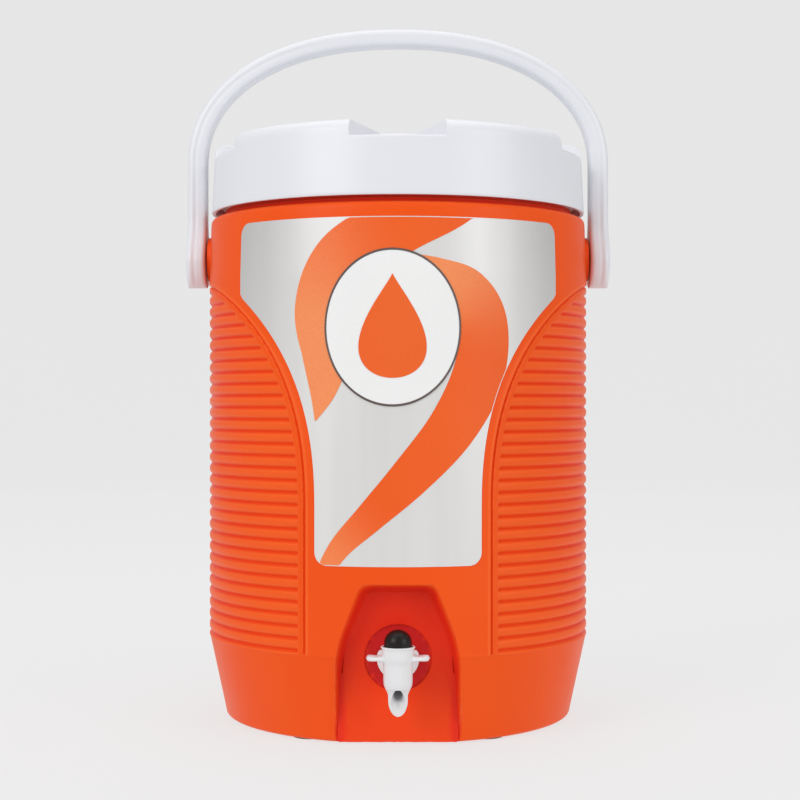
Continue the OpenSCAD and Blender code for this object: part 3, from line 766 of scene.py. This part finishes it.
def bail_stations():
    """Inner point, outward direction, half width and thickness along the bail."""
    out = []
    low = PIVOT_Z - PADDLE_R
    heights = [low + 0.12, low + 0.5, low + 1.2, low + 2.4, low + 4.2, low + 6.5, low + 9.5, low + 13,
               low + 17, PIVOT_Z, PIVOT_Z + 4, PIVOT_Z + 8, PIVOT_Z + 12, PIVOT_Z + 16, PIVOT_Z + 20,
               PIVOT_Z + 25, PIVOT_Z + 32, PIVOT_Z + 42, PIVOT_Z + 54]
    for z in heights:
        if z < PIVOT_Z:
            half = math.sqrt(max(PADDLE_R ** 2 - (z - PIVOT_Z) ** 2, 0.01))
        else:
            half = mix(PADDLE_R, BAIL_HALF, float(smoothstep(PIVOT_Z - 2, PIVOT_Z + 27, z)))
        out.append(((IN_X, z), (IN_X + BAIL_T, z), half))
    for i in range(97):
        t = math.pi / 2 * (i / 96)
        out.append((arch(IN_X, GRIP_UNDER - ARM_TOP, t),
                    arch(IN_X + BAIL_T, GRIP_TOP - ARM_TOP, t), BAIL_HALF))
    mirrored = [((-a[0], a[1]), (-b[0], b[1]), h) for a, b, h in out[:-1]]
    return out + mirrored[::-1]


def build_bail():
    bm = bmesh.new()
    rows = []
    for (ix, iz), (ox, oz), half in bail_stations():
        thick = math.hypot(ox - ix, oz - iz)
        ux, uz = (ox - ix) / thick, (oz - iz) / thick
        seam = 0.3 * float(smoothstep(46, 84, abs(ox))) * float(smoothstep(4.0, 9.0, half))
        rows.append([(ix + ux * a, y, iz + uz * a) for a, y in bail_section(half, thick, seam)])
    ring_skin(bm, rows)
    obj = make("bail", bm, None, WHITE, smooth=180)
    bores = bmesh.new()
    seat = screw_high[0] - 5.0
    profile = [(0.0, 120.0), (PIVOT_BORE_R, 120.0), (PIVOT_BORE_R, seat - 0.1), (HEAD_BORE_R, seat - 0.1),
               (HEAD_BORE_R, 147.9), (BORE_MOUTH_R, 149.0), (BORE_MOUTH_R, 200.0), (0.0, 200.0)]
    for side in (-1, 1):
        ring_skin(bores, turned(profile, lambda u, v, h: (side * h, u, PIVOT_Z + v), 64))
    cutter = make("bail_bores", bores, None, None)
    cut(obj, cutter)
    obj.data.set_sharp_from_angle(angle=math.radians(38))
    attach(obj, "bail")
    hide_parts("bail_handle")
    return obj


build_bail()

# ---- tap ----


def at_tap(u, v, h):
    """A point about the barrel's upright axis."""
    return (u, TAP_Y + v, h)


def along_y(u, v, h):
    """A point about the shank's level axis."""
    return (u, h, TAP_Z + v)


MOUTH_LIP, MOUTH_REAR = -3.7, 6.2     # in front of and behind the barrel's axis
MOUTH_HIGH, MOUTH_LOW = 39.8, 20.6
BORE_R, CHAMBER_R, CUP_R = 3.6, 6.6, 9.3   # spout, valve chamber, and the cup round the button
WING_REACH, WING_DEPTH, WING_Z = 19.9, 6.2, 58.5


def mouth_z(back):
    """Height of the spout's slanted mouth, at a distance behind the barrel's axis."""
    t = (back - MOUTH_LIP) / (MOUTH_REAR - MOUTH_LIP)
    return mix(MOUTH_HIGH, MOUTH_LOW, t)


def tap_painted_shade(x, y, z):
    """Painted shade up inside the spout's bore, growing with height above its slanted mouth; x, y, z in
    metres.
    """
    back = y / MM - TAP_Y
    r = math.hypot(x / MM, back)
    if r > 4.7 or z / MM > 60:
        return 0.0
    return 2.0 * float(smoothstep(5.0, 11.5, z / MM - mouth_z(back)))


def soft_top(z):
    """The flange is flattened above the wings."""
    return float(soft_min(z, 60.5, 3.0))


def build_tap():
    outer = ([(0.0, 20.9), (6.0, 20.9), (6.1, 30.0), (6.15, 34.6), (6.3, 36.0), (6.75, 37.4), (7.5, 38.9),
              (8.2, 40.3), (8.75, 41.8), (9.05, 43.4), (9.15, 45.0), (9.15, 53.0), (9.2, 55.4),
              (9.6, 56.6), (10.2, 57.6), (10.35, 60.5), (10.1, 62.2), (10.1, 64.4), (10.35, 65.0),
              (10.6, 65.3)]
             + fillet(10.4, 65.85, 0.35, 0, 90, 3)
             + [(9.45, 66.2), (CUP_R, 66.05), (CUP_R, 60.95), (0.0, 60.95)])
    bm = bmesh.new()
    ring_skin(bm, turned(outer, at_tap, 96))
    tap = make("tap_body", bm, None, TAP_WHITE, smooth=180)

    # finger wings: thin, rounded at the tips and turned up a little
    wings = bmesh.new()
    rows = []
    for i in range(41):
        x = WING_REACH * (2 * i / 40 - 1)
        off = WING_REACH - abs(x)
        tip = (WING_DEPTH - min(off, WING_DEPTH)) / WING_DEPTH
        width = WING_DEPTH * math.sqrt(max(1 - tip ** 2, 0.004))
        half_t = (1.5 + 0.35 * float(smoothstep(12, 18, abs(x)))
                  + 0.9 * (1 - float(smoothstep(9, 13.5, abs(x)))))
        half_t *= math.sqrt(max(1 - ((1.4 - min(off, 1.4)) / 1.4) ** 2, 0.02))
        mid = WING_Z + 0.5 * (abs(x) / WING_REACH) ** 2
        rows.append([(x, TAP_Y + width * math.copysign(abs(math.cos(a)) ** 0.75, math.cos(a)),
                      mid + half_t * math.copysign(abs(math.sin(a)) ** 0.8, math.sin(a)))
                     for a in (2 * math.pi * k / 36 for k in range(36))])
    ring_skin(wings, rows)
    cut(tap, make("wings", wings, None, None), "UNION")

    shank = bmesh.new()
    back = box_mm("faucet_body")[1][1]
    profile = ([(0.0, TAP_Y + 1.0), (9.1, TAP_Y + 1.0), (9.1, -119.6), (9.7, -118.4), (11.0, -117.75)]
               + fillet(12.9, -117.0, 0.6, -90, 0, 4)
               + [(13.5, -114.7), (9.2, -114.7), (9.2, back + 0.6), (8.6, back), (0.0, back)])
    rows = [[(x, y, soft_top(z)) for x, y, z in row] for row in turned(profile, along_y, 96)]
    ring_skin(shank, rows)
    cut(tap, make("shank", shank, None, None), "UNION")

    bore = bmesh.new()
    ring_skin(bore, turned([(0.0, 15.0), (4.6, 15.0), (4.55, 30.0), (4.1, 34.0), (3.7, 36.0),
                            (BORE_R, 38.0), (BORE_R, 40.0), (BORE_R, 42.2), (CHAMBER_R, 42.4),
                            (CHAMBER_R, 61.0), (CUP_R, 61.02), (CUP_R, 80.0), (0.0, 80.0)],
                           at_tap, 64))
    cut(tap, make("bore", bore, None, None))
    inlet = bmesh.new()
    ring_skin(inlet, turned([(0.0, TAP_Y), (3.9, TAP_Y), (3.9, -80.0), (0.0, -80.0)], along_y, 48))
    cut(tap, make("inlet", inlet, None, None))

    # slanted mouth, nearly level in front of the bore
    mouth = bmesh.new()
    side = [(TAP_Y + back, mouth_z(back))
            for back in (mix(MOUTH_LIP, MOUTH_REAR, i / 8) for i in range(9))]
    front = TAP_Y + MOUTH_LIP - 8
    outline = [(front, MOUTH_HIGH + 0.3)] + side + [(TAP_Y + MOUTH_REAR, 10.0), (front, 10.0)]
    ring_skin(mouth, [[(x, y, z) for y, z in outline] for x in (-12.0, 12.0)])
    cut(tap, make("mouth", mouth, None, None))

    bevel = tap.modifiers.new("soft", "BEVEL")
    bevel.width = 0.35 * MM
    bevel.segments = 3
    bevel.limit_method = "ANGLE"
    bevel.angle_limit = math.radians(42)
    bevel.use_clamp_overlap = True
    baked(tap)
    marked = bmesh.new()
    marked.from_mesh(tap.data)
    # painted shade inside the spout's bore, stored per vertex
    mark_painted_light(marked, tap_painted_shade)
    marked.to_mesh(tap.data)
    marked.free()
    tap.data.shade_smooth()
    tap.data.set_sharp_from_angle(angle=math.radians(50))
    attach(tap, "cooler")
    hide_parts("faucet_body")


def build_gasket():
    """The tap's outer gasket, trimmed above the wings like the flange that covers it."""
    low, high = box_mm("outer_gasket")
    profile = [(9.3, low[1]), (13.1, low[1]), (13.3, low[1] + 0.3), (13.3, high[1]), (9.3, high[1])]
    bm = bmesh.new()
    close_tube(bm, [[(x, y, float(soft_min(z, 59.9, 2.0))) for x, y, z in row]
                    for row in turned(profile, along_y, 96)])
    obj = make("tap_gasket", bm, "cooler", SEAL_RUBBER, smooth=40)
    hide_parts("outer_gasket")


def build_button():
    low, high = button_low[2], button_high[2]
    r = 8.7
    dome = [(r * math.cos(math.radians(a)), mix(high - 8.3, high, math.sin(math.radians(a))))
            for a in range(0, 90, 6)]
    profile = ([(0.0, low + 0.1), (r - 0.2, low + 0.1), (r + 0.15, low + 0.4), (r + 0.15, low + 0.9),
                (r + 0.05, low + 1.4), (r + 0.03, high - 8.9)] + dome + [(0.0, high)])
    bm = bmesh.new()
    ring_skin(bm, turned(profile, at_tap, 96))
    obj = make("tap_button", bm, "button", BUTTON, smooth=50)
    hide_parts("push_button")


build_tap()
build_gasket()
build_button()

# ---- label ----

LABEL_HALF, LABEL_MARGIN, LABEL_CORNER = 119.6, 6.7, 8.5
LABEL_FULL_Z = 291.0                  # the label keeps its full width above this
STROKE_LIFT = 0.24                    # underside of the printed strokes, above the body
LABEL_LOW, LABEL_HIGH = label_low[2], label_high[2]


def label_s(z):
    """Half width of the label along the surface, with rounded corners."""
    half = LABEL_HALF
    if z < LABEL_FULL_Z:
        slope = float(panel_s(z + 0.5) - panel_s(z - 0.5))
        half = min(half, float(panel_s(z)) - LABEL_MARGIN * math.sqrt(1 + slope * slope))
    for edge in (z - LABEL_LOW, LABEL_HIGH - z):
        if edge < LABEL_CORNER:
            half -= LABEL_CORNER - math.sqrt(max(LABEL_CORNER ** 2 - (LABEL_CORNER - edge) ** 2, 0.0))
    return half


def on_body(s, z, lift):
    """A point of the front surface, at arc length s from the middle and height z."""
    r = mix(BODY_R, upper_r(z), float(smoothstep(PANEL_TOP - 3, PANEL_TOP + 8, z))) + lift
    a = s / LINE_R
    return (r * math.sin(a), -r * math.cos(a), z)


def patch(name, outline_rows, lift, thick, material):
    """A thin film: rows of (s from, s to, z), with closed edges."""
    across = 72
    bm = bmesh.new()
    rows = []
    for s0, s1, z in outline_rows:
        front = [on_body(mix(s0, s1, i / across), z, lift + thick) for i in range(across + 1)]
        back = [on_body(mix(s0, s1, i / across), z, lift) for i in range(across, -1, -1)]
        rows.append(front + back)
    ring_skin(bm, rows)
    return make(name, bm, "cooler", material, smooth=50)


def label_heights():
    """Heights of the label's rows, closer together at its rounded corners."""
    low = [LABEL_LOW + LABEL_CORNER * (1 - math.cos(math.radians(a))) for a in range(0, 91, 9)]
    high = [LABEL_HIGH - LABEL_CORNER * (1 - math.cos(math.radians(a))) for a in range(90, -1, -9)]
    body = [mix(low[-1], high[0], i / 70) for i in range(1, 70)]
    return low + body + high


def curve_through(path):
    """Points of a smooth curve through a path's points, 16 to a span (Catmull-Rom)."""
    dense = []
    for i in range(len(path) - 1):
        a, b, c, d = (np.array(path[min(max(k, 0), len(path) - 1)]) for k in range(i - 1, i + 3))
        for t in (k / 16 for k in range(16)):
            dense.append(0.5 * (2 * b + (c - a) * t + (2 * a - 5 * b + 4 * c - d) * t * t
                                + (3 * b - a - 3 * c + d) * t ** 3))
    dense.append(np.array(path[-1], float))
    return dense


def swoosh(name, path, tone):
    """A printed tapering stroke along (s, z, half width) points, kept inside the film.

    tone(share along the stroke) is stored as the "tone" attribute.
    """
    dense = curve_through(path)
    across_steps = 32
    rows = []
    for i, (s, z, half) in enumerate(dense):
        along = dense[min(i + 1, len(dense) - 1)] - dense[max(i - 1, 0)]
        length = math.hypot(along[0], along[1])
        ns, nz = -along[1] / length, along[0] / length
        across = []
        for k in range(across_steps + 1):
            w = (2 * k / across_steps - 1) * half
            zz = min(max(z + nz * w, LABEL_LOW + 0.6), LABEL_HIGH - 0.6)
            limit = label_s(zz) - 0.6
            across.append((min(max(s + ns * w, -limit), limit), zz))
        rows.append([on_body(a, b, STROKE_LIFT + 0.06) for a, b in across]
                    + [on_body(a, b, STROKE_LIFT) for a, b in across[::-1]])
    bm = bmesh.new()
    layer = bm.verts.layers.float.new("tone")
    made = ring_skin(bm, rows)
    for i, row in enumerate(made):
        for v in row:
            v[layer] = tone(i / (len(made) - 1))
    make(name, bm, "cooler", LABEL_ORANGE, smooth=50)


def disc(name, middle, radii, lift, material, hole=None, drop=False):
    """A printed oval, a ring when hole is a share of its radii, or a water drop."""
    bm = bmesh.new()
    steps = 96
    shares = [i / 12 for i in range(13)] if hole is None else [hole, 1.0]

    def ring_at(share, up):
        row = []
        for i in range(steps):
            a = 2 * math.pi * i / steps
            u, v = math.sin(a), math.cos(a)
            if drop:                  # round below, drawn in to a point above
                u *= math.sin(a / 2) ** 1.35
            row.append(on_body(middle[0] + radii[0] * share * u, middle[1] + radii[1] * share * v, up))
        return row

    top = [ring_at(share, lift + 0.08) for share in shares]
    under = [ring_at(share, lift) for share in shares[::-1]]
    if hole is None:
        top[0] = [on_body(*middle, lift + 0.08)]
        under[-1] = [on_body(*middle, lift)]
        ring_skin(bm, top + under)
    else:
        close_tube(bm, top + under)
    make(name, bm, "cooler", material, smooth=50)


def build_label():
    base = patch("label_film", [(-label_s(z), label_s(z), z) for z in label_heights()], 0.02, 0.12, SILVER)
    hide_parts("front_label")
    swoosh("label_swoosh_upper",
           [(62, 366, 15), (34, 346, 17), (-2, 329, 19), (-34, 307, 22), (-48, 279, 21),
            (-47, 250, 17), (-49, 226, 9.5), (-54, 207, 0.5)],
           lambda t: float(smoothstep(0.25, 0.65, t)))
    swoosh("label_swoosh_lower",
           [(8, 312, 0.5), (26, 303, 7), (46, 290, 13.5), (57, 268, 17), (53, 236, 18), (35, 203, 16),
            (8, 172, 13), (-18, 146, 9.5), (-38, 126, 7), (-52, 104, 5)],
           lambda t: 1 - float(smoothstep(0.12, 0.42, t)) + 0.8 * float(smoothstep(0.72, 0.98, t)))
    disc("label_emblem", (-3.5, 266.0), (43.0, 49.0), 0.42, LABEL_WHITE)
    disc("label_emblem_edge", (-3.5, 266.0), (44.0, 50.0), 0.56, LABEL_DARK, hole=0.972)
    disc("label_drop", (-3.5, 267.0), (30.0, 33.0), 0.60, LABEL_DEEP, drop=True)


build_label()

# ---- studio ----

SURROUND = 0.55                       # brightness of the backdrop outside the view
CAMERA_AWAY, CAMERA_UP = 1.170, 0.222


def build_studio():
    backdrop = bmesh.new()
    section = ([(0.0, 0.0), (1200.0, 0.0)] + fillet(2600.0, 1000.0, 1000.0, -90, 0, 24)
               + [(3600.0, 4200.0)])
    ring_skin(backdrop, turned(section, lambda x, y, z: (x, y, z), 96), ends=False)
    n = Nodes("studio_backdrop")
    tone = n.noise(3.0, detail=2.0)
    n.put(n.shader.inputs["Base Color"], n.blend(tone, rgba(0.13, 0.13, 0.13), rgba(0.135, 0.135, 0.135)))
    axes = n.add("ShaderNodeSeparateXYZ", Vector=n.coords)
    aside = n.ramp(n.math("ABSOLUTE", axes.outputs["X"], 0.0), 1.3, 1.9, 1.0, SURROUND)
    ahead = n.ramp(axes.outputs["Y"], -1.0, -0.45, SURROUND, 1.0)
    glow = n.blend(n.math("MULTIPLY", aside, ahead), rgba(0, 0, 0), rgba(1, 1, 1))
    n.put(n.shader.inputs["Emission Color"], glow)
    obj = make("studio_floor", backdrop, None,
               n.finish(Roughness=0.9, Specular_IOR_Level=0.1, Emission_Strength=0.70))

    def area(name, place, aim, size, power):
        light = bpy.data.lights.new(name, "AREA")
        light.shape = "RECTANGLE"
        light.size, light.size_y = size
        light.energy = power
        holder = bpy.data.objects.new(name, light)
        holder.location = place
        holder.rotation_euler = (Vector(aim) - Vector(place)).to_track_quat("-Z", "Y").to_euler()
        bpy.context.scene.collection.objects.link(holder)

    area("key", (-1.5, -1.6, 1.25), (0, 0, 0.22), (1.3, 1.5), 24.5)
    area("fill", (1.7, -1.3, 0.8), (0, 0, 0.22), (1.2, 1.4), 14.0)
    area("top", (0.0, 0.1, 2.0), (0, 0, 0.25), (2.0, 2.0), 12.0)

    world = bpy.data.worlds.new("studio_world")
    world.use_nodes = True
    background = world.node_tree.nodes["Background"]
    background.inputs["Color"].default_value = rgba(0.97, 0.98, 1.0)
    background.inputs["Strength"].default_value = 0.6
    bpy.context.scene.world = world

    camera = bpy.data.cameras.new("camera")
    camera.sensor_width = 36.0
    camera.lens = 74.25
    camera.shift_x, camera.shift_y = 0.0025, -0.00375
    camera.clip_end = 30.0
    holder = bpy.data.objects.new("camera", camera)
    holder.location = (0.0, -CAMERA_AWAY, CAMERA_UP)
    holder.rotation_euler = (math.pi / 2, 0.0, 0.0)
    bpy.context.scene.collection.objects.link(holder)
    bpy.context.scene.camera = holder
    bpy.context.scene.view_settings.view_transform = "Standard"
    bpy.context.scene.view_settings.look = "None"


build_studio()

bpy.context.view_layer.update()
